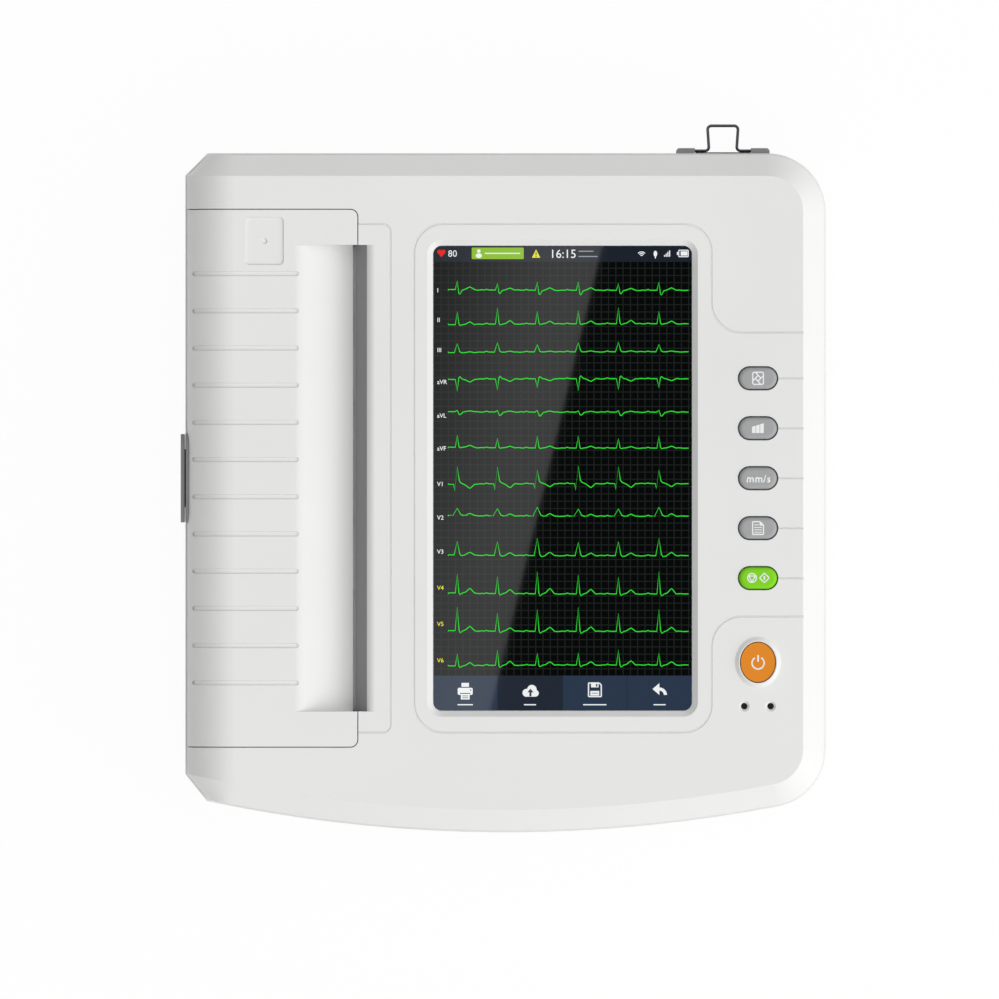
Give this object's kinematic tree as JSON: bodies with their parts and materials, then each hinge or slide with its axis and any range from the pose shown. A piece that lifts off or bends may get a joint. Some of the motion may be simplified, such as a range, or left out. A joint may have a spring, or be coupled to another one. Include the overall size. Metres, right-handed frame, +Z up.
{
  "type": "ecg machine",
  "caption": "Portable resting ECG machine: flat white case with a colour screen, a column of keys, a chart printer under a sliding cover and a mains inlet with a bail.",
  "frame": {"origin": "middle of the footprint, on the table under the rubber feet", "axes": "+Z up, +Y to the back where the mains inlet is, -X to the chart printer"},
  "size_m": [0.3091, 0.3397, 0.0834],
  "materials": {
    "case_plastic": "fine moulded texture",
    "dark_plastic": "satin",
    "grey_plastic": "satin",
    "key_grey": "soft touch",
    "key_green": "soft touch",
    "power_orange": "satin",
    "lens": "clear dark",
    "screen_glass": "gloss",
    "steel": "brushed",
    "aluminium": "extruded",
    "rubber": "matt",
    "gear_plastic": "moulded",
    "board": "solder mask",
    "chips": "moulded",
    "paper": "smooth paper",
    "card": "card",
    "battery": "shrink sleeve",
    "brass": "plated"
  },
  "bodies": {
    "case": {"upper_case": "case_plastic", "tear_bar": "grey_plastic", "lower_case": "case_plastic", "latch_keeper": "steel", "runner_guides": "gear_plastic", "printer_frame": "steel", "idler_pin": "steel", "feed_motor": "steel", "print_head": "aluminium", "head_heat_sink": "aluminium", "roll_holders": "dark_plastic", "screen_glass": "screen_glass", "display_panel": "chips", "display_bracket": "steel", "indicator_lenses": "lens", "key_mat": "rubber", "dome_switches": "steel", "key_board": "board", "mains_inlet": "dark_plastic", "inlet_blades": "brass", "bail_blocks": "grey_plastic", "lead_socket": "grey_plastic", "usb_port": "steel", "network_port": "dark_plastic", "main_board": "board", "power_board": "board", "main_board_chips": "chips", "power_board_parts": "chips", "battery_pack": "battery", "battery_door": "case_plastic", "speaker": "dark_plastic", "rubber_feet": "rubber", "case_screws": "steel"},
    "cover": {"paper_cover": "case_plastic", "latch_bezel": "dark_plastic", "latch_pin": "steel", "cover_runners": "gear_plastic", "platen_cheeks": "steel", "platen_bushes": "gear_plastic"},
    "latch": {"latch_handle": "dark_plastic"},
    "platen": {"platen_shaft": "steel", "platen_roller": "rubber", "platen_gear": "gear_plastic"},
    "idler": {"idler_gear": "gear_plastic"},
    "pinion": {"motor_pinion": "brass", "motor_shaft": "steel"},
    "roll": {"chart_roll": "paper", "roll_core": "card", "spool_shaft": "dark_plastic"},
    "bail": {"bail_wire": "steel"},
    "key_lead_off": {"key_lead_off": "key_grey"},
    "key_gain": {"key_gain": "key_grey"},
    "key_speed": {"key_speed": "key_grey"},
    "key_report": {"key_report": "key_grey"},
    "key_start": {"key_start": "key_green"},
    "power": {"power_button": "power_orange"}
  },
  "joints": [
    {"name": "cover_slide", "type": "slide", "parent": "case", "child": "cover", "axis": [-1, 0, 0], "range_m": [0, 0.06], "deforming": ["latch_keeper"]},
    {"name": "latch_pull", "type": "hinge", "parent": "cover", "child": "latch", "pos_m": [-0.1465, 0, 0.0487], "axis": [0, -1, 0], "range_deg": [0, 10], "stiffness_Nm_per_rad": 0.4},
    {"name": "platen_spin", "type": "hinge", "parent": "cover", "child": "platen", "pos_m": [-0.079, 0, 0.0585], "axis": [0, 1, 0], "continuous": true},
    {"name": "idler_spin", "type": "hinge", "parent": "case", "child": "idler", "pos_m": [-0.06232, 0, 0.05072], "axis": [0, 1, 0], "continuous": true},
    {"name": "pinion_spin", "type": "hinge", "parent": "case", "child": "pinion", "pos_m": [-0.05556, 0, 0.03801], "axis": [0, 1, 0], "continuous": true},
    {"name": "roll_spin", "type": "hinge", "parent": "case", "child": "roll", "pos_m": [-0.112, 0, 0.0295], "axis": [0, 1, 0], "continuous": true},
    {"name": "key_lead_off_press", "type": "slide", "parent": "case", "child": "key_lead_off", "axis": [0, 0, -1], "range_m": [0, 0.0008], "stiffness_N_per_m": 1500},
    {"name": "key_gain_press", "type": "slide", "parent": "case", "child": "key_gain", "axis": [0, 0, -1], "range_m": [0, 0.0008], "stiffness_N_per_m": 1500},
    {"name": "key_speed_press", "type": "slide", "parent": "case", "child": "key_speed", "axis": [0, 0, -1], "range_m": [0, 0.0008], "stiffness_N_per_m": 1500},
    {"name": "key_report_press", "type": "slide", "parent": "case", "child": "key_report", "axis": [0, 0, -1], "range_m": [0, 0.0008], "stiffness_N_per_m": 1500},
    {"name": "key_start_press", "type": "slide", "parent": "case", "child": "key_start", "axis": [0, 0, -1], "range_m": [0, 0.0008], "stiffness_N_per_m": 1500},
    {"name": "power_press", "type": "slide", "parent": "case", "child": "power", "axis": [0, 0, -1], "range_m": [0, 0.0008], "stiffness_N_per_m": 1500},
    {"name": "bail_swing", "type": "hinge", "parent": "case", "child": "bail", "pos_m": [0.1054, 0.1572, 0.022], "axis": [1, 0, 0], "range_deg": [-85, 85]}
  ],
  "couplings": [
    {"joint": "idler_spin", "follows": "platen_spin", "ratio": -0.91667},
    {"joint": "pinion_spin", "follows": "platen_spin", "ratio": 1.8333},
    {"joint": "roll_spin", "follows": "platen_spin", "ratio": 0.2619}
  ]
}
